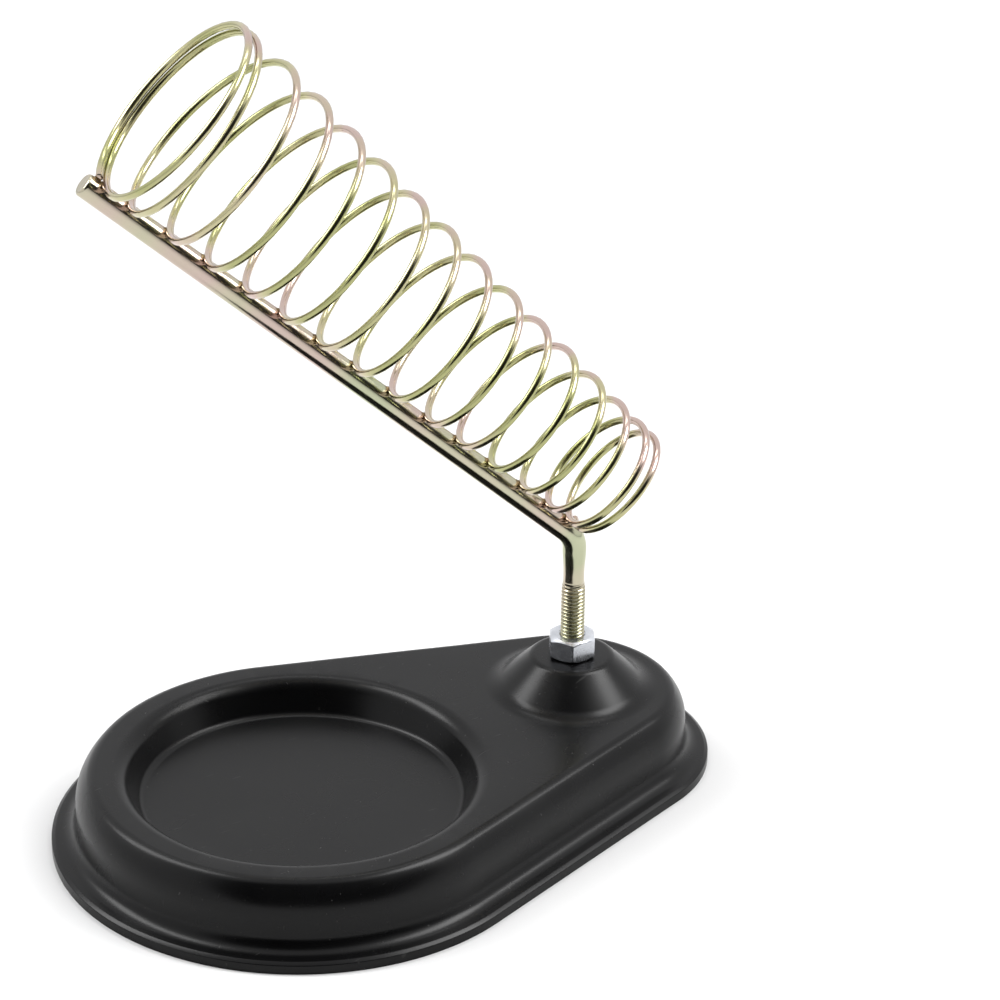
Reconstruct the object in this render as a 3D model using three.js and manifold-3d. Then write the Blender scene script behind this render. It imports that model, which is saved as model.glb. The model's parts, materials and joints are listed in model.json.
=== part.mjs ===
// Soldering iron stand: a pressed steel base with a tray and a hollow boss, a bent rod clamped to
// the boss by two hexagon nuts, and a cone of wire welded along the rod's arm to hold the iron.
// Millimetres, +Z up. The base stands on the plane z = 0 and the stud is vertical.
import * as THREE from 'three';
import { mergeVertices } from 'three/addons/utils/BufferGeometryUtils.js';
import Module from 'manifold-3d';

const wasm = await Module();
wasm.setup();

// Base: two arcs joined by straight tangents. X is measured from the stud's axis.
const BIG_X = 78.4;
const SMALL_X = 1.6;
const RIM_BIG = 60.9;
const RIM_SMALL = 36.3;
const SHEET = 1.0;
const TOP = 19.6;
const WALL_INSET = 6.0;
const CREST_RADIUS = 3.2;
const CREST_TURN = (48 * Math.PI) / 180;
const SHOULDER_RADIUS = 11.0;
const CREST_INSET = WALL_INSET + CREST_RADIUS * Math.sin(CREST_TURN)
  + SHOULDER_RADIUS * (1 - Math.sin(CREST_TURN));
const LIP = 2.3;
const FLANGE_Z = 3.0;
const FLARE_RADIUS = 4.0;

// Tray: a round recess about the big arc's centre.
const TRAY_RIM = 46;
const TRAY_FLOOR = 11.4;
const TRAY_LIP_RADIUS = 4.5;
const TRAY_FOOT_RADIUS = 2.0;
const TRAY_SLOPE = THREE.MathUtils.degToRad(65);

// Boss: a flat-topped cone about the stud's axis, with a plain round hole.
const BOSS_TOP = 28.4;
const BOSS_FOOT = 22;
const BOSS_EDGE_RADIUS = 2.6;
const BOSS_FOOT_RADIUS = 7;
const BOSS_SLOPE = THREE.MathUtils.degToRad(44);
const HOLE_RADIUS = 3.3;

// Rod: 6 mm bar whose upright end is reduced to the blank of a rolled M6 thread.
const GAP = 0.3;
const THREAD_RADIUS = 3.0;
const THREAD_CHAMFER = 0.7;
const SHANK_RADIUS = 2.675;
const ROD_RADIUS = 3.0;
const STUD_END = 19.0;
const THREAD_TOP = 48.6;
const NECK_TOP = 57;
const BEND_Z = 61.5;
const BEND_RADIUS = 7;
const ARM_LENGTH = 155.3;
const ARM_RISE = THREE.MathUtils.degToRad(40.3);
const ARM_SWIVEL = THREE.MathUtils.degToRad(-24);

// Coil: distances along the arm are measured from the bend's corner, radii to the wire's centre.
const WIRE_RADIUS = 0.95;
// The first two turns close the mouth: they lie side by side, a little smaller than the cone,
// and lean a little outwards.
const COIL_START = 153.3;
const COIL_START_RADIUS = 25.3;
const COIL_END_RADIUS = 14.2;
const COIL_LEAN = THREE.MathUtils.degToRad(6);
const MOUTH_PITCHES = [2.1, 7.7];
const MOUTH_LEAN = 0.7;
const MOUTH_TUCK = 0.6;
const OPEN_PITCH = 11.5;
const OPEN_TURNS = 8;
const END_PITCHES = [10.1, 10.5, 10.3, 8.4, 6.8, 2.0];
const STEPS_PER_TURN = 18;

// Nuts: plain hexagons on the M6 thread.
const NUT_ACROSS_FLATS = 11;
const NUT_HEIGHT = 5.5;
const NUT_BORE = THREAD_RADIUS + GAP;
const NUT_CHAMFER = THREE.MathUtils.degToRad(30);

function material(color, roughness, metalness) {
  return new THREE.MeshStandardMaterial({ color, roughness, metalness });
}

// A closed geometry as a solid that can be joined and cut.
function solid(geometry) {
  geometry.deleteAttribute('normal');
  geometry.deleteAttribute('uv');
  const merged = mergeVertices(geometry, 1e-4);
  const index = merged.index.array;
  const triangles = [];
  for (let i = 0; i < index.length; i += 3) {
    const [a, b, c] = [index[i], index[i + 1], index[i + 2]];
    if (a !== b && b !== c && c !== a) triangles.push(a, b, c);
  }
  const vertProperties = new Float32Array(merged.attributes.position.array);
  const triVerts = new Uint32Array(triangles);
  return new wasm.Manifold(new wasm.Mesh({ numProp: 3, vertProperties, triVerts }));
}

function geometryOf(shape) {
  const mesh = shape.getMesh();
  const geometry = new THREE.BufferGeometry();
  geometry.setAttribute('position', new THREE.BufferAttribute(mesh.vertProperties, 3));
  geometry.setIndex(new THREE.BufferAttribute(mesh.triVerts, 1));
  geometry.computeVertexNormals();
  return geometry;
}

// Points on an arc from angle start to angle end, in radians.
function arc(x, y, radius, start, end, steps) {
  const points = [];
  for (let i = 0; i <= steps; i += 1) {
    const angle = start + ((end - start) * i) / steps;
    points.push([x + radius * Math.cos(angle), y + radius * Math.sin(angle)]);
  }
  return points;
}

// A round solid about +Z from [radius, z] points that run from the axis up and back to the axis.
function turned(points, segments) {
  const profile = points.map(([radius, z]) => new THREE.Vector2(radius, z));
  return new THREE.LatheGeometry(profile, segments).rotateX(Math.PI / 2);
}

// The teardrop outline, moved in from the rim by inset, as [x, y] points.
function outline(inset) {
  const meet = Math.acos((RIM_SMALL - RIM_BIG) / (BIG_X - SMALL_X));
  const big = arc(BIG_X, 0, RIM_BIG - inset, -meet, meet, 30);
  const small = arc(SMALL_X, 0, RIM_SMALL - inset, meet, 2 * Math.PI - meet, 14);
  return [...big, ...small];
}

// A solid whose outline follows [inset, z] points from bottom to top.
function lofted(profile) {
  const rings = profile.map(([inset, z]) => outline(inset).map(([x, y]) => [x, y, z]));
  const count = rings[0].length;
  const index = [];
  for (let ring = 0; ring + 1 < rings.length; ring += 1) {
    for (let i = 0; i < count; i += 1) {
      const a = ring * count + i;
      const b = ring * count + ((i + 1) % count);
      index.push(a, b, b + count, a, b + count, a + count);
    }
  }
  const last = (rings.length - 1) * count;
  for (let i = 1; i + 1 < count; i += 1) {
    index.push(0, i + 1, i);
    index.push(last, last + i, last + i + 1);
  }
  const geometry = new THREE.BufferGeometry();
  geometry.setAttribute('position', new THREE.Float32BufferAttribute(rings.flat(2), 3));
  geometry.setIndex(index);
  return geometry;
}

// The bend from the wall to the flat top at a depth below the sheet's upper surface, as [inset, z]
// points: a wide arc that runs into a tight one.
function shoulder(depth) {
  const joint = Math.PI / 2 + CREST_TURN;
  const foot = TOP - CREST_RADIUS * (1 - Math.cos(CREST_TURN))
    - SHOULDER_RADIUS * Math.cos(CREST_TURN);
  const wide = arc(WALL_INSET + SHOULDER_RADIUS, foot, SHOULDER_RADIUS - depth, Math.PI, joint, 3);
  const tight = arc(CREST_INSET, TOP - CREST_RADIUS, CREST_RADIUS - depth, joint, Math.PI / 2, 3);
  return [...wide, ...tight.slice(1)];
}

// The flare from the flange to the wall at a depth below the sheet's upper surface.
function flare(depth) {
  return arc(WALL_INSET - FLARE_RADIUS, FLANGE_Z + FLARE_RADIUS, FLARE_RADIUS + depth,
    -Math.PI / 2, 0, 4);
}

// The tray as a solid to cut away, at a depth below the sheet's upper surface.
function trayTool(depth) {
  const lipRadius = TRAY_LIP_RADIUS - depth;
  const footRadius = TRAY_FOOT_RADIUS + depth;
  const sine = Math.sin(TRAY_SLOPE);
  const cosine = Math.cos(TRAY_SLOPE);
  const fall = TOP - TRAY_FLOOR - (TRAY_LIP_RADIUS + TRAY_FOOT_RADIUS) * (1 - cosine);
  const run = (fall * cosine) / sine + (TRAY_LIP_RADIUS + TRAY_FOOT_RADIUS) * sine;
  const foot = arc(TRAY_RIM - run, TRAY_FLOOR + TRAY_FOOT_RADIUS, footRadius,
    -Math.PI / 2, TRAY_SLOPE - Math.PI / 2, 4);
  const lip = arc(TRAY_RIM, TOP - TRAY_LIP_RADIUS, lipRadius,
    TRAY_SLOPE + Math.PI / 2, Math.PI / 2, 4);
  const roof = TOP + 5;
  const profile = [[0, TRAY_FLOOR - depth], ...foot, ...lip, [TRAY_RIM, roof], [0, roof]];
  return solid(turned(profile, 48)).translate([BIG_X, 0, 0]);
}

// The boss as a solid to add, at a depth below the sheet's upper surface.
function bossSolid(depth) {
  const sine = Math.sin(BOSS_SLOPE);
  const cosine = Math.cos(BOSS_SLOPE);
  const fall = BOSS_TOP - TOP - (BOSS_EDGE_RADIUS + BOSS_FOOT_RADIUS) * (1 - cosine);
  const run = (fall * cosine) / sine + (BOSS_EDGE_RADIUS + BOSS_FOOT_RADIUS) * sine;
  const foot = arc(BOSS_FOOT, TOP + BOSS_FOOT_RADIUS, BOSS_FOOT_RADIUS + depth,
    -Math.PI / 2, -Math.PI / 2 - BOSS_SLOPE, 4);
  const edge = arc(BOSS_FOOT - run, BOSS_TOP - BOSS_EDGE_RADIUS, BOSS_EDGE_RADIUS - depth,
    Math.PI / 2 - BOSS_SLOPE, Math.PI / 2, 3);
  const floor = TOP - depth - 1;
  const profile = [[0, floor], [BOSS_FOOT, floor], ...foot, ...edge, [0, BOSS_TOP - depth]];
  return solid(turned(profile, 40));
}

function basePan() {
  const outside = [[0, 0], [0, LIP], [SHEET, FLANGE_Z - 0.1], ...flare(0), ...shoulder(0)];
  const inside = [[SHEET, -1], [SHEET, LIP - 0.6], [SHEET * 1.5, FLANGE_Z - SHEET - 0.05],
    ...flare(SHEET), ...shoulder(SHEET)];
  const upper = solid(lofted(outside)).add(bossSolid(0)).subtract(trayTool(0));
  const hollow = solid(lofted(inside)).add(bossSolid(SHEET)).subtract(trayTool(SHEET));
  const hole = solid(turned([[0, TOP], [HOLE_RADIUS, TOP], [HOLE_RADIUS, BOSS_TOP + 5],
    [0, BOSS_TOP + 5]], 32));
  return geometryOf(upper.subtract(hollow).subtract(hole));
}

// A tube's path through given stations, straight between them.
class Stations extends THREE.Curve {
  constructor(points) {
    super();
    this.points = points;
  }

  getPoint(t, target = new THREE.Vector3()) {
    const spans = this.points.length - 1;
    const span = Math.min(Math.floor(Math.min(Math.max(t, 0), 1) * spans), spans - 1);
    return target.lerpVectors(this.points[span], this.points[span + 1], t * spans - span);
  }

  getPointAt(u, target) {
    return this.getPoint(u, target);
  }

  getTangentAt(u, target) {
    return this.getTangent(u, target);
  }
}

function tube(points, radius, curveSegments) {
  const section = new THREE.Shape().absarc(0, 0, radius, 0, 2 * Math.PI);
  const extrudePath = new Stations(points);
  const steps = points.length - 1;
  return new THREE.ExtrudeGeometry(section, { steps, extrudePath, curveSegments });
}

// Directions of the arm: up along it, square to it on the coil's side, and across both.
const corner = new THREE.Vector3(0, 0, BEND_Z);
const outward = new THREE.Vector3(Math.cos(ARM_SWIVEL), Math.sin(ARM_SWIVEL), 0);
const sideways = new THREE.Vector3(-Math.sin(ARM_SWIVEL), Math.cos(ARM_SWIVEL), 0);
const armAxis = outward.clone().multiplyScalar(Math.cos(ARM_RISE)).setZ(Math.sin(ARM_RISE));
const coilSide = new THREE.Vector3().crossVectors(armAxis, sideways)
  .multiplyScalar(Math.cos(COIL_LEAN)).addScaledVector(sideways, Math.sin(COIL_LEAN));
const coilAcross = new THREE.Vector3().crossVectors(armAxis, coilSide);

function supportRod() {
  const bendAngle = Math.PI / 2 - ARM_RISE;
  const reach = BEND_RADIUS * Math.tan(bendAngle / 2);
  const bend = arc(BEND_RADIUS, BEND_Z - reach, BEND_RADIUS, Math.PI, Math.PI - bendAngle, 6)
    .map(([x, z]) => outward.clone().multiplyScalar(x).setZ(z));
  const start = new THREE.Vector3(0, 0, NECK_TOP);
  const end = corner.clone().addScaledVector(armAxis, ARM_LENGTH);
  const bar = solid(tube([start, ...bend, end], ROD_RADIUS, 8));
  const stud = solid(turned([[0, STUD_END], [THREAD_RADIUS - THREAD_CHAMFER, STUD_END],
    [THREAD_RADIUS, STUD_END + THREAD_CHAMFER], [THREAD_RADIUS, THREAD_TOP],
    [SHANK_RADIUS, THREAD_TOP + THREAD_CHAMFER], [SHANK_RADIUS, NECK_TOP + 1],
    [0, NECK_TOP + 1]], 16));
  return geometryOf(bar.add(stud));
}

// The wire's centre line: each turn leaves the rod and comes back to it one pitch lower.
function ironCoil() {
  const pitches = [...MOUTH_PITCHES, ...Array(OPEN_TURNS).fill(OPEN_PITCH), ...END_PITCHES];
  const mouthTurns = MOUTH_PITCHES.length;
  const length = pitches.reduce((sum, pitch) => sum + pitch, 0);
  const taper = (COIL_START_RADIUS - COIL_END_RADIUS) / length;
  const radial = coilSide.clone().multiplyScalar(Math.sqrt(1 - taper * taper))
    .addScaledVector(armAxis, -taper);
  const seat = ROD_RADIUS + GAP + WIRE_RADIUS;
  const points = [];
  let along = COIL_START;
  pitches.forEach((pitch, turn) => {
    const first = turn === 0 ? 0 : 1;
    for (let step = first; step <= STEPS_PER_TURN; step += 1) {
      const part = step / STEPS_PER_TURN;
      const angle = 2 * Math.PI * part;
      const lastOfMouth = turn === mouthTurns - 1;
      const place = along - pitch * (lastOfMouth ? part * part : part);
      const inMouth = Math.max(1 - ((turn + part) / mouthTurns) ** 6, 0);
      const radius = COIL_START_RADIUS - taper * (COIL_START - place) - MOUTH_TUCK * inMouth;
      const lean = MOUTH_LEAN * inMouth * (1 - Math.cos(angle)) / 2;
      points.push(corner.clone().addScaledVector(armAxis, place + lean)
        .addScaledVector(coilSide, seat)
        .addScaledVector(radial, radius * (1 - Math.cos(angle)))
        .addScaledVector(coilAcross, radius * Math.sin(angle)));
    }
    along -= pitch;
  });
  return tube(points, WIRE_RADIUS, 3);
}

// A hexagon nut standing on z = 0, corners along X, both faces chamfered.
function hexNut() {
  const cornerRadius = NUT_ACROSS_FLATS / Math.sqrt(3);
  const corners = arc(0, 0, cornerRadius, 0, (5 * Math.PI) / 3, 5);
  const hexagon = new THREE.Shape(corners.map(([x, y]) => new THREE.Vector2(x, y)));
  const prism = new THREE.ExtrudeGeometry(hexagon, { depth: NUT_HEIGHT, bevelEnabled: false });
  const face = NUT_ACROSS_FLATS / 2;
  const drop = (cornerRadius - face) * Math.tan(NUT_CHAMFER);
  const round = turned([[0, 0], [face, 0], [cornerRadius, drop],
    [cornerRadius, NUT_HEIGHT - drop], [face, NUT_HEIGHT], [0, NUT_HEIGHT]], 36);
  const bore = turned([[0, -1], [NUT_BORE, -1], [NUT_BORE, NUT_HEIGHT + 1],
    [0, NUT_HEIGHT + 1]], 24);
  return geometryOf(solid(prism).intersect(solid(round)).subtract(solid(bore)));
}

const enamel = material(0x1b1b1c, 0.38, 0.1);
const yellowZinc = material(0xb9ad78, 0.35, 0.85);
const brightZinc = material(0xc9ccd0, 0.3, 0.9);

const stand = new THREE.Group();

function addPart(name, geometry, look, z = 0) {
  const mesh = new THREE.Mesh(geometry, look);
  mesh.name = name;
  mesh.position.z = z;
  stand.add(mesh);
}

addPart('base_pan', basePan(), enamel);
addPart('support_rod', supportRod(), yellowZinc);
addPart('iron_coil', ironCoil(), yellowZinc.clone());
addPart('upper_nut', hexNut(), brightZinc, BOSS_TOP + GAP);
addPart('lower_nut', hexNut(), brightZinc.clone(), BOSS_TOP - SHEET - GAP - NUT_HEIGHT);

// The origin is under the middle of the whole stand, on the surface it stands on.
const middle = new THREE.Box3().setFromObject(stand, true).getCenter(new THREE.Vector3());
stand.position.set(-middle.x, -middle.y, 0);

export default stand;
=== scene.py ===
"""Looks for a soldering iron stand: a pressed and enamelled steel base, a bent rod with a rolled
thread, a cone of wire spot-welded along the rod, and two hexagon nuts. Pieces are drawn in
millimetres about the stud's axis, with X towards the tray, and are placed in metres."""

import json
import math
import random

import bmesh
import bpy
from mathutils import Matrix, Vector, geometry, noise


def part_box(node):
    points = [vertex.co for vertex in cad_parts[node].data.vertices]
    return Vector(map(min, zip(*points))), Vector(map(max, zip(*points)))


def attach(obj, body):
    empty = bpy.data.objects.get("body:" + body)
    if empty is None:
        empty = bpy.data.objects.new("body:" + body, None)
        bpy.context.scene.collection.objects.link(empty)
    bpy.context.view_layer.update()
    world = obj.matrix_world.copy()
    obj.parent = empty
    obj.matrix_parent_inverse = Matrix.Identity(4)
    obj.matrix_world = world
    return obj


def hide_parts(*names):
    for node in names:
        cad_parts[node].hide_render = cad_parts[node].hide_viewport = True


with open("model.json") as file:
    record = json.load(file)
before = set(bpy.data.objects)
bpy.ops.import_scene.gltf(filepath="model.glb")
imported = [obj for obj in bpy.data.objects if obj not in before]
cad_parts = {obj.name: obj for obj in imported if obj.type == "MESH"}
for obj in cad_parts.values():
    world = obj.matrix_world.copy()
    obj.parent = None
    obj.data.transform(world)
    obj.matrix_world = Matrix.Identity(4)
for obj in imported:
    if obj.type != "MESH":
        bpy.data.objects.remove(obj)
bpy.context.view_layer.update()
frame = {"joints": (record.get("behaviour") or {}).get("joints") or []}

MM = 0.001
swivel = next(joint for joint in frame["joints"] if joint["name"] == "holder_swivel")
STUD_FOOT = Vector((swivel["pos_m"][0], swivel["pos_m"][1], 0))


def node_box(name):
    """A CAD node's lowest and highest corners in millimetres about the stud's axis."""
    low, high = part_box(name)
    return (low - STUD_FOOT) / MM, (high - STUD_FOOT) / MM


BOSS_TOP = node_box("base_pan")[1].z
STUD_END = node_box("support_rod")[0].z
UPPER_NUT_TOP = node_box("upper_nut")[1].z
LOWER_NUT_FOOT = node_box("lower_nut")[0].z

# Base: two arcs joined by straight sides. Insets are measured inwards from the rim.
BIG_X = 78.4
SMALL_X = 1.6
RIM_BIG = 60.9
RIM_SMALL = 36.3
BIG_STEPS = 160
SMALL_STEPS = 96
SIDE_STEPS = 40
SHEET = 1.0
TOP = 19.6
WALL_INSET = 6.0
WALL_MIDDLE = 8
CREST_RADIUS = 3.2
CREST_TURN = math.radians(48)
CREST_STEPS = 20
SHOULDER_RADIUS = 11.0
SHOULDER_STEPS = 24
CREST_INSET = (WALL_INSET + CREST_RADIUS * math.sin(CREST_TURN)
               + SHOULDER_RADIUS * (1 - math.sin(CREST_TURN)))
# The sheet's two sides from the cut edge round the flange: inset, height and corner radius.
FLANGE_OUTSIDE = [(0, 0, 0), (0, 2.3, 0.3), (0.95, 2.9, 0.5), (5.65, 3.35, 4.0)]
FLANGE_INSIDE = [(SHEET, 0, 0), (SHEET, 1.65, 0.2), (1.5, 1.95, 0.2), (6.55, 2.4, 4.4)]
TRAY_RIM = 46.0
TRAY_FLOOR = 11.4
TRAY_LIP_RADIUS = 4.5
TRAY_FOOT_RADIUS = 2.0
TRAY_SLOPE = math.radians(65)
TRAY_FLOOR_RINGS = (30, 20, 10, 3)
TRAY_SIDES = 144
BOSS_FOOT = 22.0
BOSS_FOOT_RADIUS = 7.0
BOSS_EDGE_RADIUS = 2.6
BOSS_SLOPE = math.radians(44)
BOSS_SIDES = 96
HOLE_RADIUS = 3.3

# The flat top's own points lie on a staggered grid, clear of its three edges.
GRID = 3.0
GRID_ROW_RISE = 0.87
GRID_ROWS = range(-16, 17)
GRID_COLUMNS = range(-10, 42)
CREST_GAP = 1.5
RING_GAP = 1.2
RING_SLACK = 0.05

# Pressing: depths of the long swell and the short ripple, their sizes across, and where they start.
SWELL_DEPTH = 0.16
SWELL_SIZE = 38
RIPPLE_DEPTH = 0.035
RIPPLE_SIZE = 14
RIPPLE_SEED = 40
PRESSED_FROM = 5
PRESSED_OVER = 8

# Rod: 6 mm bar, its lower end rolled to an M6 thread of 1 mm pitch.
ROD_RADIUS = 3.0
ROD_SIDES = 48
THREAD_RADIUS = 3.0
THREAD_DEPTH = 0.42
THREAD_CREST = 0.14
THREAD_FLANK = 0.66
THREAD_STEPS = 14
PITCH = 1.0
SHANK_RADIUS = 2.675
STUD_CHAMFER = 0.25
THREAD_TOP = 48.6
THREAD_END = THREAD_TOP + 1.0
THREAD_RINGS_TOP = THREAD_TOP + 1.2
THREAD_FADE = 3.0
NECK_TOP = 57.0
CORNER_Z = 61.5
BEND_RADIUS = 7.0
BEND_STEPS = 18
ARM_LENGTH = 155.3
ARM_STEPS = 150
ARM_RISE = math.radians(40.3)
ARM_SWIVEL = math.radians(-24)
TIP_START = 0.9
# Along the shank and at the arm's tip: place, radius and corner radius.
NECK = [(THREAD_TOP + 1.4, SHANK_RADIUS, 0), (THREAD_TOP + 4.0, SHANK_RADIUS, 30),
        (NECK_TOP, ROD_RADIUS, 20), (NECK_TOP + 1.1, ROD_RADIUS, 0)]
ARM_TIP = [(ARM_LENGTH - 0.8, ROD_RADIUS, 0), (ARM_LENGTH, ROD_RADIUS, 0.7), (ARM_LENGTH, 2.0, 0)]

# Coil: distances along the arm from the bend's corner, radii to the wire's centre.
WIRE_RADIUS = 0.95
WIRE_SIDES = 16
WIRE_END_BEVEL = 0.12
WIRE_END_SHARE = 0.82
WELD_SINK = 0.2
COIL_START = 153.3
COIL_START_RADIUS = 25.3
COIL_END_RADIUS = 14.2
COIL_LEAN = math.radians(6)
MOUTH_TURNS = 2
MOUTH_LEAN = 0.7
MOUTH_TUCK = 0.6
MOUTH_FADE = 6
PITCHES = [2.1, 7.7] + 8 * [11.5] + [10.1, 10.5, 10.3, 8.4, 6.8, 2.0]
STEPS_PER_TURN = 48

# Spot welds: half-lengths along and across the arm, at the foot and at the top, before scaling.
WELD_FOOT_ALONG = 1.75
WELD_FOOT_ACROSS = 1.55
WELD_TOP_ALONG = 0.88
WELD_TOP_ACROSS = 1.25
WELD_RIPPLE = 0.12
WELD_RIPPLE_RATE = 2
WELD_FOOT_BITE = 0.04
WELD_KNEE_RISE = 0.1
WELD_TOP_BITE = 0.02
WELD_STEPS = 5
WELD_SIDES = 28
WELD_SIZES = (0.85, 1.1)
WELD_SEED = 7

# Tones: the reach of a weld's heat, then the film's level, its pink and the size of its drift.
HEAT_REACH = 2.2
WIRE_TINT = 0.16
WIRE_PINK = 0.55
WIRE_DRIFT = 0.6
WIRE_DRIFT_SIZE = 19
WIRE_DRIFT_RISE = 20
FOOT_PINK = 0.3
ROD_TINT = 0.4
ROD_DRIFT = 0.9
ROD_DRIFT_LENGTH = 15
ROD_DRIFT_WIDTH = 9
ROD_DRIFT_SEED = 3
ROD_TIP_TINT = 0.3

# Nuts: plain hexagons on the M6 thread.
NUT_FACE = 5.5
NUT_LAND = NUT_FACE - 0.45
NUT_CHAMFER = math.radians(30)
NUT_CORNER_CUT = 0.1
NUT_EDGE = 0.14
NUT_MOUTH = 3.35
NUT_PLAY = 0.06
NUT_SEAT = 0.02
NUT_SIDES = 96

corner = Vector((0, 0, CORNER_Z))
outward = Vector((math.cos(ARM_SWIVEL), math.sin(ARM_SWIVEL), 0))
sideways = Vector((-math.sin(ARM_SWIVEL), math.cos(ARM_SWIVEL), 0))
upright = Vector((0, 0, 1))
arm_axis = outward * math.cos(ARM_RISE) + upright * math.sin(ARM_RISE)
arm_top = arm_axis.cross(sideways)
coil_side = arm_top * math.cos(COIL_LEAN) + sideways * math.sin(COIL_LEAN)
coil_across = arm_axis.cross(coil_side)


# Shapes ---------------------------------------------------------------------------------------

def clamped(value):
    """A value held between 0 and 1."""
    return min(max(value, 0), 1)


def rounded(corners, spacing=0.35):
    """A path through (u, v, radius) corners with an arc in each, as (u, v) points."""
    points = []
    for index, (u, v, radius) in enumerate(corners):
        here = Vector((u, v))
        if radius == 0:
            points.append(here)
            continue
        back = (Vector(corners[index - 1][:2]) - here).normalized()
        ahead = (Vector(corners[index + 1][:2]) - here).normalized()
        half = back.angle(ahead) / 2
        centre = here + (back + ahead).normalized() * (radius / math.sin(half))
        start = here + back * (radius / math.tan(half)) - centre
        end = here + ahead * (radius / math.tan(half)) - centre
        turn = math.atan2(start.x * end.y - start.y * end.x, start.dot(end))
        steps = max(4, math.ceil(abs(turn) * radius / spacing))
        for step in range(steps + 1):
            points.append(centre + Matrix.Rotation(turn * step / steps, 2) @ start)
    return points


def loft(rings, closed=False):
    """Quads between rings of equal length. Returns vertices and faces."""
    count = len(rings[0])
    vertices = [point for ring in rings for point in ring]
    faces = []
    last = len(rings) if closed else len(rings) - 1
    for ring in range(last):
        start = ring * count
        above = ((ring + 1) % len(rings)) * count
        for i in range(count):
            j = (i + 1) % count
            faces.append((start + i, start + j, above + j, above + i))
    return vertices, faces


def capped(rings):
    """A loft closed at both ends by a flat face."""
    vertices, faces = loft(rings)
    count = len(rings[0])
    faces.append(tuple(reversed(range(count))))
    faces.append(tuple(range(len(vertices) - count, len(vertices))))
    return vertices, faces


def piece(name, parts, material, body, node, sharp, tones=None):
    """One mesh object from (vertices, faces) parts in millimetres, placed, shaded and riding on
    its body. sharp is the angle, in degrees, above which an edge is shaded sharp. tones maps an
    attribute's name to a function of a point, which gives its value there."""
    mesh = bpy.data.meshes.new(name)
    bm = bmesh.new()
    for vertices, faces in parts:
        made = [bm.verts.new(STUD_FOOT + Vector(v) * MM) for v in vertices]
        for face in faces:
            bm.faces.new([made[i] for i in face])
    bmesh.ops.remove_doubles(bm, verts=bm.verts, dist=0.002 * MM)
    bmesh.ops.recalc_face_normals(bm, faces=bm.faces)
    bm.to_mesh(mesh)
    bm.free()
    mesh.shade_smooth()
    mesh.set_sharp_from_angle(angle=math.radians(sharp))
    mesh.materials.append(material)
    for tone, value_at in (tones or {}).items():
        layer = mesh.attributes.new(tone, "FLOAT", "POINT")
        for vertex, entry in zip(mesh.vertices, layer.data):
            entry.value = value_at((vertex.co - STUD_FOOT) / MM)
    obj = bpy.data.objects.new(name, mesh)
    bpy.context.scene.collection.objects.link(obj)
    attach(obj, body)
    if node:
        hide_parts(node)
    return obj


# Base pan -------------------------------------------------------------------------------------

def circle(x, radius, z, count):
    """A level ring about (x, 0)."""
    angles = [2 * math.pi * i / count for i in range(count)]
    return [Vector((x + radius * math.cos(a), radius * math.sin(a), z)) for a in angles]


def outline(inset, z):
    """The teardrop outline at an inset from the rim, as a level ring."""
    meet = math.acos((RIM_SMALL - RIM_BIG) / (BIG_X - SMALL_X))
    arcs = [(BIG_X, RIM_BIG - inset, -meet, meet, BIG_STEPS),
            (SMALL_X, RIM_SMALL - inset, meet, 2 * math.pi - meet, SMALL_STEPS)]
    ends = []
    for x, radius, start, end, steps in arcs:
        angles = [start + (end - start) * i / steps for i in range(steps + 1)]
        ends.append([Vector((x + radius * math.cos(a), radius * math.sin(a), z)) for a in angles])
    big, small = ends
    one_side = [big[-1].lerp(small[0], i / SIDE_STEPS) for i in range(1, SIDE_STEPS)]
    other_side = [small[-1].lerp(big[0], i / SIDE_STEPS) for i in range(1, SIDE_STEPS)]
    return big + one_side + small + other_side


def on_flat_top(p):
    """Whether a grid point lies inside the crest and clear of the tray and the boss."""
    small_crest = RIM_SMALL - CREST_INSET
    big_crest = RIM_BIG - CREST_INSET
    share = clamped((p.x - SMALL_X) / (BIG_X - SMALL_X))
    centre = Vector((SMALL_X + share * (BIG_X - SMALL_X), 0))
    limit = small_crest + share * (big_crest - small_crest)
    in_crest = (p - centre).length < limit - CREST_GAP
    off_tray = (p - Vector((BIG_X, 0))).length > TRAY_RIM + RING_GAP
    off_boss = p.length > BOSS_FOOT + RING_GAP
    return in_crest and off_tray and off_boss


def flat_top(z):
    """The flat sheet between the crest, the tray and the boss, as triangles."""
    crest = outline(CREST_INSET, z)
    tray = circle(BIG_X, TRAY_RIM, z, TRAY_SIDES)
    boss = circle(0, BOSS_FOOT, z, BOSS_SIDES)
    points = [p.xy for ring in (crest, tray, boss) for p in ring]
    edges = []
    start = 0
    for ring in (crest, tray, boss):
        count = len(ring)
        edges += [(start + i, start + (i + 1) % count) for i in range(count)]
        start += count
    for row in GRID_ROWS:
        for column in GRID_COLUMNS:
            p = Vector((column * GRID + (row % 2) * GRID / 2, row * GRID * GRID_ROW_RISE))
            if on_flat_top(p):
                points.append(p)
    made = geometry.delaunay_2d_cdt(points, edges, [], 1, 1e-5)
    vertices, faces = made[0], made[2]
    kept = []
    for face in faces:
        middle = sum((vertices[i] for i in face), Vector((0, 0))) / 3
        off_tray = (middle - Vector((BIG_X, 0))).length > TRAY_RIM - RING_SLACK
        if off_tray and middle.length > BOSS_FOOT - RING_SLACK:
            kept.append(tuple(face))
    return [Vector((v.x, v.y, z)) for v in vertices], kept


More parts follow.
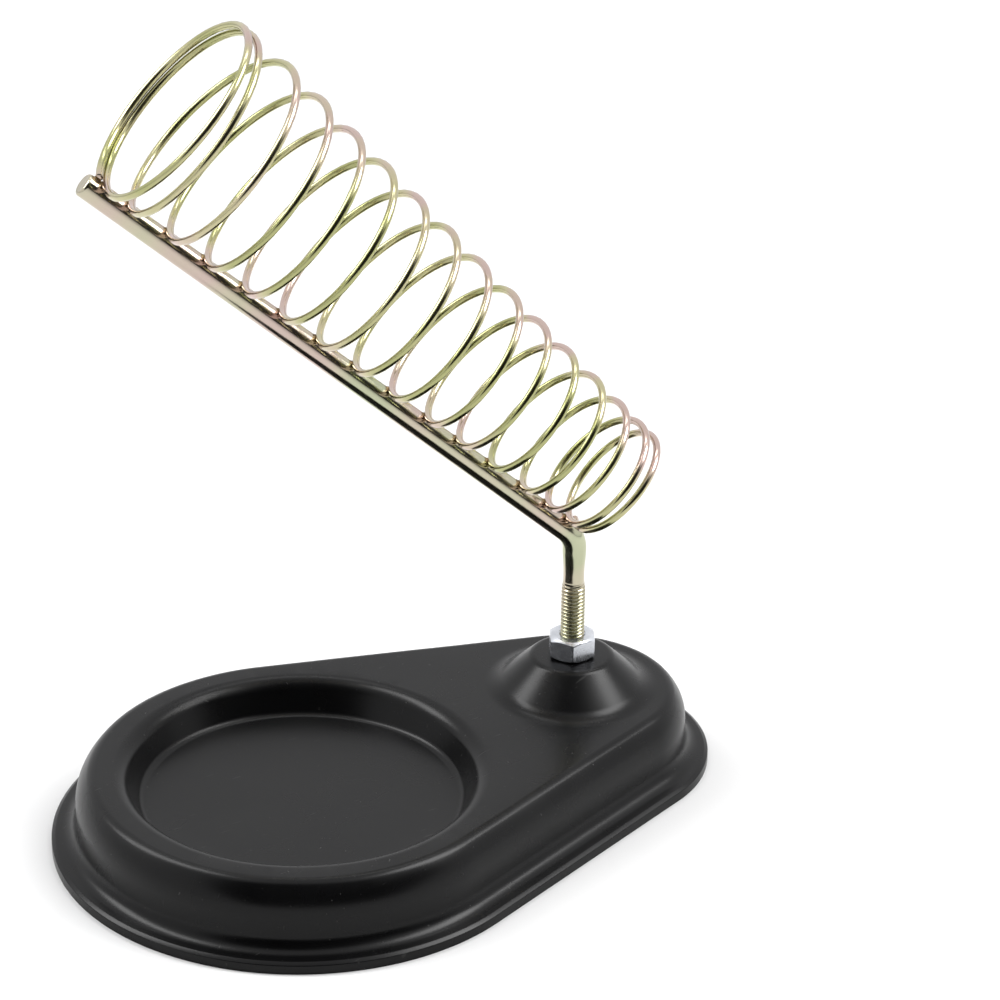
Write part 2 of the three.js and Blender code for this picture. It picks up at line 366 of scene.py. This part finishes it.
def shoulder(depth):
    """The bend from the wall to the flat top, at a depth below the outer surface: a wide arc
    that runs into a tight one."""
    wide = SHOULDER_RADIUS - depth
    tight = CREST_RADIUS - depth
    wide_turn = math.pi / 2 - CREST_TURN
    wide_x = WALL_INSET + SHOULDER_RADIUS
    wide_z = TOP - CREST_RADIUS * (1 - math.cos(CREST_TURN)) - SHOULDER_RADIUS * math.cos(CREST_TURN)
    tight_z = TOP - CREST_RADIUS
    points = []
    for step in range(SHOULDER_STEPS + 1):
        lean = wide_turn * step / SHOULDER_STEPS
        points.append(Vector((wide_x - wide * math.cos(lean), wide_z + wide * math.sin(lean))))
    for step in range(1, CREST_STEPS + 1):
        lean = wide_turn + CREST_TURN * step / CREST_STEPS
        points.append(Vector((CREST_INSET - tight * math.cos(lean), tight_z + tight * math.sin(lean))))
    return points


def wall_profile():
    """The sheet's section from the underside of the crest round the rim to the crest's top."""
    outer_wall = (WALL_INSET, WALL_MIDDLE, 0)
    inner_wall = (WALL_INSET + SHEET, WALL_MIDDLE, 0)
    outside = rounded(FLANGE_OUTSIDE + [outer_wall], spacing=0.2) + shoulder(0)
    inside = rounded(FLANGE_INSIDE + [inner_wall], spacing=0.3) + shoulder(SHEET)
    return list(reversed(inside)) + outside


def tray_profile(depth):
    """The tray's section from its lip to its middle, at a depth below the upper surface."""
    slope_run = (TOP - TRAY_FLOOR) / math.tan(TRAY_SLOPE)
    lip_corner = TRAY_RIM - TRAY_LIP_RADIUS * math.tan(TRAY_SLOPE / 2)
    foot_corner = lip_corner - slope_run
    shift = depth * math.tan(TRAY_SLOPE / 2)
    top = TOP - depth
    floor_z = TRAY_FLOOR - depth
    return rounded([(TRAY_RIM, top, 0), (lip_corner + shift, top, TRAY_LIP_RADIUS - depth),
                    (foot_corner + shift, floor_z, TRAY_FOOT_RADIUS + depth)]
                   + [(radius, floor_z, 0) for radius in TRAY_FLOOR_RINGS])


def boss_profile(depth):
    """The boss's section from its foot to the hole's edge, at a depth below the upper surface."""
    slope_run = (BOSS_TOP - TOP) / math.tan(BOSS_SLOPE)
    foot_corner = BOSS_FOOT - BOSS_FOOT_RADIUS * math.tan(BOSS_SLOPE / 2)
    shift = depth * math.tan(BOSS_SLOPE / 2)
    top = TOP - depth
    boss_top = BOSS_TOP - depth
    return rounded([(BOSS_FOOT, top, 0), (foot_corner - shift, top, BOSS_FOOT_RADIUS + depth),
                    (foot_corner - slope_run - shift, boss_top, BOSS_EDGE_RADIUS - depth),
                    (HOLE_RADIUS, boss_top, 0)])


def pressing(point):
    """A point moved by the slight unevenness that a press leaves in a thin sheet."""
    share = clamped((point.z - PRESSED_FROM) / PRESSED_OVER)
    from_stud = math.hypot(point.x, point.y)
    if from_stud < BOSS_FOOT:
        share *= (from_stud / BOSS_FOOT) ** 2
    swell = noise.noise(Vector((point.x, point.y, 0)) / SWELL_SIZE) * SWELL_DEPTH
    ripple = noise.noise(Vector((point.x, point.y, RIPPLE_SEED)) / RIPPLE_SIZE) * RIPPLE_DEPTH
    return point + upright * (swell + ripple) * share


def base_pan(material):
    """The pressed base: wall and flange, flat top, tray and boss, each with both of its sides."""
    wall = loft([outline(inset, z) for inset, z in wall_profile()])
    parts = [wall, flat_top(TOP), flat_top(TOP - SHEET)]
    for depth in (0, SHEET):
        rings = [circle(BIG_X, radius, z, TRAY_SIDES) for radius, z in tray_profile(depth)]
        vertices, faces = loft(rings)
        faces.append(tuple(range(len(vertices) - TRAY_SIDES, len(vertices))))
        parts.append((vertices, faces))
    boss = boss_profile(0) + list(reversed(boss_profile(SHEET)))
    parts.append(loft([circle(0, radius, z, BOSS_SIDES) for radius, z in boss]))
    pressed = []
    for vertices, faces in parts:
        pressed.append(([pressing(v) for v in vertices], faces))
    return piece("base_shell", pressed, material, "base", "base_pan", sharp=50)


# Rod ------------------------------------------------------------------------------------------

def thread_radius(angle, z):
    """The rolled thread's radius at an angle and a height."""
    phase = (z / PITCH - angle / (2 * math.pi)) % 1
    away = min(phase, 1 - phase) * 2
    flank = clamped((away - THREAD_CREST) / THREAD_FLANK)
    return THREAD_RADIUS - THREAD_DEPTH * flank * flank * (3 - 2 * flank)


def thread_share(z):
    """How much of the thread is left at a height: 1 along the stud, 0 above the thread's end."""
    return clamped((THREAD_END - z) / THREAD_FADE)


def around(centre, first, second, radius, sides):
    """A ring about centre in the plane of first and second. radius is a number or a function of
    the angle."""
    ring = []
    for i in range(sides):
        angle = 2 * math.pi * i / sides
        r = radius(angle) if callable(radius) else radius
        ring.append(centre + first * (r * math.cos(angle)) + second * (r * math.sin(angle)))
    return ring


def stud_radius(z):
    """The stud's radius at a height, as a function of the angle."""
    chamfer = THREAD_RADIUS - THREAD_DEPTH - STUD_CHAMFER + (z - STUD_END)

    def radius(angle):
        thread = SHANK_RADIUS + (thread_radius(angle, z) - SHANK_RADIUS) * thread_share(z)
        return min(thread, chamfer)
    return radius


def support_rod(material):
    """The rod: threaded stud, shank, bend and arm, as one skin of rings."""
    first = Vector((1, 0, 0))
    second = Vector((0, 1, 0))
    rings = []
    steps = round((THREAD_RINGS_TOP - STUD_END) / PITCH * THREAD_STEPS)
    for step in range(steps):
        z = STUD_END + step * PITCH / THREAD_STEPS
        rings.append(around(Vector((0, 0, z)), first, second, stud_radius(z), ROD_SIDES))
    for z, radius in rounded(NECK):
        rings.append(around(Vector((0, 0, z)), first, second, radius, ROD_SIDES))
    bend_angle = math.pi / 2 - ARM_RISE
    reach = BEND_RADIUS * math.tan(bend_angle / 2)
    centre = Vector((0, 0, CORNER_Z - reach)) + outward * BEND_RADIUS
    # The ring frame turns about the bend's own axis, so that the surface runs on without a twist.
    axis = outward.cross(upright)
    for step in range(BEND_STEPS + 1):
        spin = Matrix.Rotation(-bend_angle * step / BEND_STEPS, 3, axis)
        place = centre + spin @ (outward * -BEND_RADIUS)
        rings.append(around(place, spin @ first, spin @ second, ROD_RADIUS, ROD_SIDES))
    spin = Matrix.Rotation(-bend_angle, 3, axis)
    straight = ARM_LENGTH - TIP_START - reach
    ends = [(reach + straight * (i + 1) / ARM_STEPS, ROD_RADIUS) for i in range(ARM_STEPS)]
    ends += rounded(ARM_TIP, spacing=0.12)
    for place, radius in ends:
        rings.append(around(corner + arm_axis * place, spin @ first, spin @ second, radius, ROD_SIDES))
    return piece("bent_rod", [capped(rings)], material, "holder", "support_rod",
                 sharp=45, tones=ROD_TONES)


# Coil and welds -------------------------------------------------------------------------------

def coil_path():
    """The wire's centre line, and where it meets the rod, as distances along the arm."""
    length = sum(PITCHES)
    taper = (COIL_START_RADIUS - COIL_END_RADIUS) / length
    radial = coil_side * math.sqrt(1 - taper * taper) - arm_axis * taper
    seat = ROD_RADIUS + WIRE_RADIUS - WELD_SINK
    points = []
    welds = [COIL_START]
    along = COIL_START
    for turn, pitch in enumerate(PITCHES):
        for step in range(0 if turn == 0 else 1, STEPS_PER_TURN + 1):
            part = step / STEPS_PER_TURN
            angle = 2 * math.pi * part
            place = along - pitch * (part ** 2 if turn == MOUTH_TURNS - 1 else part)
            in_mouth = max(1 - ((turn + part) / MOUTH_TURNS) ** MOUTH_FADE, 0)
            radius = COIL_START_RADIUS - taper * (COIL_START - place) - MOUTH_TUCK * in_mouth
            lean = MOUTH_LEAN * in_mouth * (1 - math.cos(angle)) / 2
            points.append(corner + arm_axis * (place + lean) + coil_side * seat
                          + radial * (radius * (1 - math.cos(angle)))
                          + coil_across * (radius * math.sin(angle)))
        along -= pitch
        welds.append(along)
    return points, welds


wire_points, weld_places = coil_path()


def weld_heat(point):
    """How much a point was heated by the nearest spot weld, from 0 to 1."""
    seat = coil_side * ROD_RADIUS
    nearest = min((point - corner - arm_axis * place - seat).length for place in weld_places)
    return math.exp(-(nearest / HEAT_REACH) ** 2)


def height_tint(point):
    """The wire's film, from 0 for olive to 1 for pink: pink at the rod and at each turn's top."""
    offset = point - corner
    along = offset.dot(arm_axis)
    rise = offset.dot(coil_side) - ROD_RADIUS
    share = (COIL_START - along) / sum(PITCHES)
    top = 2 * (COIL_START_RADIUS + (COIL_END_RADIUS - COIL_START_RADIUS) * share)
    level = clamped(rise / top)
    pink = (2 * level - 1) ** 4 if level > 0.5 else max(1 - level / FOOT_PINK, 0)
    place = Vector((along, level * WIRE_DRIFT_RISE, offset.dot(coil_across)))
    drift = noise.noise(place / WIRE_DRIFT_SIZE)
    return clamped(WIRE_TINT + WIRE_PINK * pink + WIRE_DRIFT * drift)


def length_tint(point):
    """The rod's film, from 0 for olive to 1 for pink, in long stretches."""
    offset = point - corner
    along = offset.dot(arm_axis)
    if point.z < CORNER_Z:
        along = point.z - CORNER_Z
    place = Vector((along / ROD_DRIFT_LENGTH, offset.dot(coil_across) / ROD_DRIFT_WIDTH, ROD_DRIFT_SEED))
    drift = noise.noise(place) * ROD_DRIFT
    return clamped(ROD_TINT + drift + ROD_TIP_TINT * max(along / ARM_LENGTH, 0) ** 3)


def groove(point):
    """How deep a point lies in the rolled thread, from 0 at its crests to 1 at its roots."""
    depth = (THREAD_RADIUS - math.hypot(point.x, point.y)) / THREAD_DEPTH
    return clamped(depth) * thread_share(point.z)


ROD_TONES = {"heat": weld_heat, "tint": length_tint, "groove": groove}
WIRE_TONES = {"heat": weld_heat, "tint": height_tint}


def tube(points, radius, sides):
    """A round tube along points, its ends cut square with a small worn edge."""
    rings = []
    normal = (points[1] - points[0]).normalized().orthogonal()
    last = len(points) - 1
    for i, point in enumerate(points):
        tangent = (points[min(i + 1, last)] - points[max(i - 1, 0)]).normalized()
        normal = (normal - tangent * normal.dot(tangent)).normalized()
        across = tangent.cross(normal)
        full = around(point, normal, across, radius, sides)
        if i in (0, last):
            beyond = tangent * (WIRE_END_BEVEL if i else -WIRE_END_BEVEL)
            worn = around(point + beyond, normal, across, radius * WIRE_END_SHARE, sides)
            rings += [full, worn] if i else [worn, full]
        else:
            rings.append(full)
    return capped(rings)


def iron_coil(material):
    """The wire cone that holds the iron."""
    parts = [tube(wire_points, WIRE_RADIUS, WIRE_SIDES)]
    return piece("wire_coil", parts, material, "holder", "iron_coil",
                 sharp=45, tones=WIRE_TONES)


def weld_fillet(place, scale):
    """The metal squeezed out round the wire where it is welded to the rod."""
    seat = ROD_RADIUS + WIRE_RADIUS - WELD_SINK
    base = corner + arm_axis * place
    rings = []
    for level in range(WELD_STEPS + 1):
        part = level / WELD_STEPS
        ring = []
        for i in range(WELD_SIDES):
            angle = 2 * math.pi * i / WELD_SIDES
            c, s = math.cos(angle), math.sin(angle)
            wave = noise.noise(Vector((place, c * WELD_RIPPLE_RATE, s * WELD_RIPPLE_RATE)))
            ripple = 1 + WELD_RIPPLE * wave
            low_t = WELD_FOOT_ALONG * scale * ripple * c
            low_c = WELD_FOOT_ACROSS * scale * ripple * s
            top_t = WELD_TOP_ALONG * c
            top_c = WELD_TOP_ACROSS * scale * s
            low_h = math.sqrt(ROD_RADIUS ** 2 - low_c ** 2) - WELD_FOOT_BITE
            knee_h = math.sqrt(ROD_RADIUS ** 2 - top_c ** 2) + WELD_KNEE_RISE
            top_h = seat - math.sqrt(max(WIRE_RADIUS ** 2 - top_t ** 2, 0)) + WELD_TOP_BITE
            low = Vector((low_t, low_c, low_h))
            knee = Vector((top_t, top_c, knee_h))
            top = Vector((top_t, top_c, top_h))
            p = low * (1 - part) ** 2 + knee * (2 * part * (1 - part)) + top * part ** 2
            ring.append(base + arm_axis * p.x + coil_across * p.y + coil_side * p.z)
        rings.append(ring)
    return capped(rings)


def spot_welds(material):
    """A fillet for each weld but the last, where the wire ends against the rod."""
    chance = random.Random(WELD_SEED)
    parts = [weld_fillet(place, chance.uniform(*WELD_SIZES)) for place in weld_places[:-1]]
    return piece("spot_welds", parts, material, "holder", None,
                 sharp=60, tones=WIRE_TONES)


# Nuts -----------------------------------------------------------------------------------------

def hexagon(angle):
    """The nut's radius at an angle, its corners along X and slightly cut."""
    step = math.pi / 3
    flat = NUT_FACE / math.cos(angle % step - step / 2)
    corner_radius = NUT_FACE / math.cos(step / 2) - NUT_CORNER_CUT
    return min(flat, corner_radius)


def chamfer_drop(radius):
    """How far the chamfer lies below the nut's face at a radius."""
    return max(radius - NUT_LAND, 0) * math.tan(NUT_CHAMFER)


def hex_nut(name, body, bottom, top, material):
    """A hexagon nut with chamfered faces and a threaded bore. It stands for its body's node."""
    count = round((top - bottom) / PITCH * THREAD_STEPS)

    def bore(angle, z):
        mouth = NUT_MOUTH - min(z - bottom, top - z)
        return max(thread_radius(angle, z) + NUT_PLAY, mouth)

    def skin(angle):
        full = hexagon(angle)
        inner = full - NUT_EDGE
        points = []
        for step in range(count + 1):
            z = bottom + (top - bottom) * step / count
            points.append((bore(angle, z), z))
        points.append((NUT_LAND, top))
        points.append((inner, top - chamfer_drop(inner)))
        points.append((full, top - chamfer_drop(full) - NUT_EDGE))
        points.append((full, bottom + chamfer_drop(full) + NUT_EDGE))
        points.append((inner, bottom + chamfer_drop(inner)))
        points.append((NUT_LAND, bottom))
        return [Vector((radius * math.cos(angle), radius * math.sin(angle), z)) for radius, z in points]

    sections = [skin(2 * math.pi * i / NUT_SIDES) for i in range(NUT_SIDES)]
    rings = [list(ring) for ring in zip(*sections)]
    parts = [loft(rings, closed=True)]
    return piece(name, parts, material, body, body, sharp=28)


# Materials ------------------------------------------------------------------------------------

# A noise texture's values lie mostly between these two.
NOISE_LOW = 0.3
NOISE_HIGH = 0.7

ENAMEL = [(NOISE_LOW, (0.0022, 0.0022, 0.0024)), (NOISE_HIGH, (0.0038, 0.0038, 0.004))]
ENAMEL_MARK = (0.035, 0.035, 0.034)
SILVER = [(NOISE_LOW, (0.57, 0.59, 0.63)), (NOISE_HIGH, (0.70, 0.72, 0.76))]
WELD = [(NOISE_LOW, (0.05, 0.03, 0.015)), (NOISE_HIGH, (0.28, 0.20, 0.10))]
# The yellow zinc's film runs from olive through straw to pink.
ROD_FILM = [(0.15, (0.45, 0.47, 0.32)), (0.45, (0.52, 0.475, 0.36)), (0.8, (0.54, 0.43, 0.38))]
WIRE_FILM = [(0.15, (0.40, 0.405, 0.19)), (0.45, (0.53, 0.49, 0.30)), (0.8, (0.56, 0.43, 0.38))]
ROD_ROUGHNESS = 0.14
WIRE_ROUGHNESS = 0.16
# Painted shade: the thread's grooves are darkened towards this colour by their depth.
PAINTED_GROOVE_SHADE = (0.16, 0.13, 0.05)
SINGE = (0.10, 0.055, 0.03)


class Nodes:
    """A material's node tree, with short calls to add and join nodes."""

    def __init__(self, name):
        self.material = bpy.data.materials.new(name)
        self.material.use_nodes = True
        self.tree = self.material.node_tree
        self.shader = next(n for n in self.tree.nodes if n.type == "BSDF_PRINCIPLED")

    def add(self, kind):
        """A new node."""
        return self.tree.nodes.new(kind)

    def join(self, source, target):
        """A link from an output to an input."""
        self.tree.links.new(source, target)

    def feed(self, value, socket):
        """A number set on an input, or an output linked to it."""
        if isinstance(value, (int, float)):
            socket.default_value = value
        else:
            self.join(value, socket)

    def noise(self, scale, detail, stretch=(1, 1, 1)):
        """Noise over the object's own metres: scale is in cells per metre."""
        texture = self.add("ShaderNodeTexNoise")
        texture.inputs["Scale"].default_value = scale
        texture.inputs["Detail"].default_value = detail
        mapping = self.add("ShaderNodeMapping")
        mapping.inputs["Scale"].default_value = stretch
        place = self.add("ShaderNodeTexCoord")
        self.join(place.outputs["Object"], mapping.inputs["Vector"])
        self.join(mapping.outputs["Vector"], texture.inputs["Vector"])
        return texture.outputs["Fac"]

    def ramp(self, source, stops):
        """A colour ramp over (place, colour) stops."""
        node = self.add("ShaderNodeValToRGB")
        elements = node.color_ramp.elements
        while len(elements) < len(stops):
            elements.new(0.5)
        for element, (place, colour) in zip(elements, stops):
            element.position = place
            element.color = (*colour, 1)
        self.join(source, node.inputs["Fac"])
        return node.outputs["Color"]

    def span(self, source, low, high, from_low=NOISE_LOW, from_high=NOISE_HIGH):
        """The source's range from_low to from_high, mapped to low to high and held there."""
        node = self.add("ShaderNodeMapRange")
        node.inputs["From Min"].default_value = from_low
        node.inputs["From Max"].default_value = from_high
        node.inputs["To Min"].default_value = low
        node.inputs["To Max"].default_value = high
        self.join(source, node.inputs["Value"])
        return node.outputs["Result"]

    def mix(self, factor, under, over):
        """A colour output mixed with a plain colour by a factor."""
        node = self.add("ShaderNodeMix")
        node.data_type = "RGBA"
        self.join(factor, node.inputs[0])
        self.join(under, node.inputs[6])
        node.inputs[7].default_value = (*over, 1)
        return node.outputs[2]

    def maths(self, operation, first, second):
        """One operation on two numbers or outputs."""
        node = self.add("ShaderNodeMath")
        node.operation = operation
        self.feed(first, node.inputs[0])
        self.feed(second, node.inputs[1])
        return node.outputs[0]

    def attribute(self, name):
        """A value stored on the mesh, or 0 where the mesh has none."""
        node = self.add("ShaderNodeAttribute")
        node.attribute_name = name
        return node.outputs["Fac"]

    def bump(self, height, distance, strength):
        """A bump on the shader's normal, its distance in metres."""
        node = self.add("ShaderNodeBump")
        node.inputs["Distance"].default_value = distance
        node.inputs["Strength"].default_value = strength
        self.join(height, node.inputs["Height"])
        self.join(node.outputs["Normal"], self.shader.inputs["Normal"])

    def finish(self, colour, roughness, metallic):
        """The shader joined up. Returns the material."""
        self.join(colour, self.shader.inputs["Base Color"])
        self.join(roughness, self.shader.inputs["Roughness"])
        self.shader.inputs["Metallic"].default_value = metallic
        return self.material


def black_enamel():
    """Baked black enamel: a soft gloss with cloudy patches, fine orange peel, dust and scratches."""
    m = Nodes("black_enamel")
    clouds = m.noise(45, 3)
    specks = m.span(m.noise(1150, 1), 0, 1, 0.76, 0.80)
    scratches = m.span(m.noise(160, 1, stretch=(1, 9, 1)), 0, 1, 0.76, 0.79)
    marks = m.maths("MAXIMUM", specks, m.maths("MULTIPLY", scratches, 0.5))
    colour = m.mix(marks, m.ramp(clouds, ENAMEL), ENAMEL_MARK)
    roughness = m.maths("ADD", m.span(clouds, 0.24, 0.31), m.maths("MULTIPLY", marks, 0.2))
    m.bump(m.noise(1900, 2), 0.006 * MM, 0.5)
    m.shader.inputs["IOR"].default_value = 1.5
    m.shader.inputs["Specular IOR Level"].default_value = 0.2
    return m.finish(colour, roughness, 0.0)


def yellow_zinc(name, film, roughness):
    """Yellow passivated zinc: its film drifts in colour, has painted shade in the thread's grooves,
    and is burnt at the welds."""
    m = Nodes(name)
    tint = m.maths("ADD", m.attribute("tint"), m.span(m.noise(90, 2), -0.14, 0.14))
    colour = m.ramp(tint, film)
    # Painted shade: the film is darkened in the thread's grooves by their depth.
    colour = m.mix(m.maths("MULTIPLY", m.attribute("groove"), 0.6), colour, PAINTED_GROOVE_SHADE)
    heat = m.maths("ADD", m.attribute("heat"), m.span(m.noise(700, 2), -0.12, 0.12))
    singe = m.span(heat, 0, 1, 0.35, 1.0)
    colour = m.mix(singe, colour, SINGE)
    haze = m.span(m.noise(260, 2), roughness - 0.03, roughness + 0.04)
    rough = m.maths("ADD", haze, m.maths("MULTIPLY", singe, 0.15))
    m.bump(m.noise(2600, 2), 0.003 * MM, 0.25)
    return m.finish(colour, rough, 1.0)


def bright_zinc():
    """Silver zinc plating, slightly cloudy."""
    m = Nodes("bright_zinc")
    clouds = m.noise(260, 2)
    m.bump(m.noise(1400, 2), 0.004 * MM, 0.3)
    return m.finish(m.ramp(clouds, SILVER), m.span(clouds, 0.20, 0.28), 0.95)


def weld_metal():
    """Weld splash: darker, duller zinc with a brown burn."""
    m = Nodes("weld_metal")
    clouds = m.noise(700, 3)
    m.bump(m.noise(2500, 2), 0.01 * MM, 0.5)
    return m.finish(m.ramp(clouds, WELD), m.span(clouds, 0.34, 0.5), 1.0)


# Stage ----------------------------------------------------------------------------------------

CAMERA_OFFSET = Vector((0.5423, 0.7917, 0.5689))
CAMERA_YAW = math.radians(-123.30)
CAMERA_PITCH = math.radians(-27.42)
CAMERA_ROLL = math.radians(1.0)
CAMERA_LENS = 158.4
CAMERA_NEAR = 0.05
CAMERA_FAR = 50
MIDDLE = Vector((0, 0, 0.06))

# Dark cards: azimuth and elevation, then the radius of the black core and of its soft edge, in
# degrees. Azimuths are measured to the right of the camera.
DARK_CARDS = [(2, 33, 36, 42), (29, 5, 14, 19), (46, 15, 14, 19), (62, 25, 12, 17)]
CARD_COLOUR = (0.02, 0.02, 0.02, 1)
ROOM_COLOUR = (1.02, 1.02, 1.03, 1)

# Softboxes: name, azimuth and elevation in degrees, distance, width and height in metres, watts.
SOFTBOXES = [("left_box", -102, 48, 1.1, 0.32, 0.8, 7.5),
             ("right_box", 97, 50, 1.1, 0.45, 0.65, 10.0),
             ("top_box", 180, 62, 1.3, 0.9, 0.16, 1.6)]

FLOOR_REACH = 6.0
FLOOR_COLOUR = (0.7, 0.7, 0.7, 1)
FLOOR_ROUGHNESS = 0.9
FLOOR_SPECULAR = 0.1


def place_camera():
    """The camera, turned by its yaw and pitch and then rolled about its own axis."""
    forward = Vector((math.cos(CAMERA_PITCH) * math.cos(CAMERA_YAW),
                      math.cos(CAMERA_PITCH) * math.sin(CAMERA_YAW), math.sin(CAMERA_PITCH)))
    right = Vector((math.sin(CAMERA_YAW), -math.cos(CAMERA_YAW), 0))
    top = right.cross(forward)
    rolled_right = right * math.cos(CAMERA_ROLL) + top * math.sin(CAMERA_ROLL)
    rolled_top = top * math.cos(CAMERA_ROLL) - right * math.sin(CAMERA_ROLL)
    data = bpy.data.cameras.new("camera")
    data.lens = CAMERA_LENS
    data.clip_start = CAMERA_NEAR
    data.clip_end = CAMERA_FAR
    camera = bpy.data.objects.new("camera", data)
    turn = Matrix((rolled_right, rolled_top, -forward)).transposed().to_4x4()
    camera.matrix_world = Matrix.Translation(STUD_FOOT + CAMERA_OFFSET) @ turn
    bpy.context.scene.collection.objects.link(camera)
    bpy.context.scene.camera = camera


def around_stand(azimuth, elevation, distance):
    """A place seen from the stand's middle, its azimuth measured to the right of the camera."""
    facing = math.atan2(CAMERA_OFFSET.y, CAMERA_OFFSET.x) + math.radians(azimuth)
    rise = math.radians(elevation)
    level = Vector((math.cos(facing), math.sin(facing), 0)) * math.cos(rise)
    return MIDDLE + (level + upright * math.sin(rise)) * distance


def softbox(name, azimuth, elevation, distance, width, height, power):
    """A rectangular light that faces the stand's middle."""
    data = bpy.data.lights.new(name, "AREA")
    data.shape = "RECTANGLE"
    data.size = width
    data.size_y = height
    data.energy = power
    light = bpy.data.objects.new(name, data)
    place = around_stand(azimuth, elevation, distance)
    light.location = place
    light.rotation_euler = (MIDDLE - place).to_track_quat("-Z", "Y").to_euler()
    bpy.context.scene.collection.objects.link(light)


def floor():
    """A plain pale floor at the height the stand rests on."""
    mesh = bpy.data.meshes.new("floor")
    corners = [(x * FLOOR_REACH, y * FLOOR_REACH, 0) for x, y in ((-1, -1), (1, -1), (1, 1), (-1, 1))]
    mesh.from_pydata(corners, [], [(0, 1, 2, 3)])
    m = Nodes("pale_floor")
    m.shader.inputs["Base Color"].default_value = FLOOR_COLOUR
    m.shader.inputs["Roughness"].default_value = FLOOR_ROUGHNESS
    m.shader.inputs["Specular IOR Level"].default_value = FLOOR_SPECULAR
    mesh.materials.append(m.material)
    obj = bpy.data.objects.new("floor", mesh)
    bpy.context.scene.collection.objects.link(obj)


def studio_world():
    """A pale room with dark cards, which the metal and the enamel mirror as black bands."""
    world = bpy.data.worlds.new("studio")
    bpy.context.scene.world = world
    world.use_nodes = True
    tree = world.node_tree
    background = tree.nodes["Background"]
    place = tree.nodes.new("ShaderNodeTexCoord")
    darkest = None
    for azimuth, elevation, core, edge in DARK_CARDS:
        dot = tree.nodes.new("ShaderNodeVectorMath")
        dot.operation = "DOT_PRODUCT"
        dot.inputs[1].default_value = (around_stand(azimuth, elevation, 1) - MIDDLE).normalized()
        span = tree.nodes.new("ShaderNodeMapRange")
        span.inputs["From Min"].default_value = math.cos(math.radians(edge))
        span.inputs["From Max"].default_value = math.cos(math.radians(core))
        tree.links.new(place.outputs["Generated"], dot.inputs[0])
        tree.links.new(dot.outputs["Value"], span.inputs["Value"])
        if darkest is None:
            darkest = span.outputs["Result"]
            continue
        both = tree.nodes.new("ShaderNodeMath")
        both.operation = "MAXIMUM"
        tree.links.new(darkest, both.inputs[0])
        tree.links.new(span.outputs["Result"], both.inputs[1])
        darkest = both.outputs["Value"]
    mix = tree.nodes.new("ShaderNodeMix")
    mix.data_type = "RGBA"
    mix.inputs[6].default_value = ROOM_COLOUR
    mix.inputs[7].default_value = CARD_COLOUR
    tree.links.new(darkest, mix.inputs[0])
    tree.links.new(mix.outputs[2], background.inputs["Color"])
    background.inputs["Strength"].default_value = 1.0


base_pan(black_enamel())
support_rod(yellow_zinc("yellow_zinc_rod", ROD_FILM, ROD_ROUGHNESS))
iron_coil(yellow_zinc("yellow_zinc_wire", WIRE_FILM, WIRE_ROUGHNESS))
spot_welds(weld_metal())
silver = bright_zinc()
hex_nut("top_nut", "upper_nut", BOSS_TOP + NUT_SEAT, UPPER_NUT_TOP, silver)
hex_nut("bottom_nut", "lower_nut", LOWER_NUT_FOOT, BOSS_TOP - SHEET - NUT_SEAT, silver)

place_camera()
floor()
studio_world()
for box in SOFTBOXES:
    softbox(*box)
bpy.context.scene.view_settings.view_transform = "Standard"
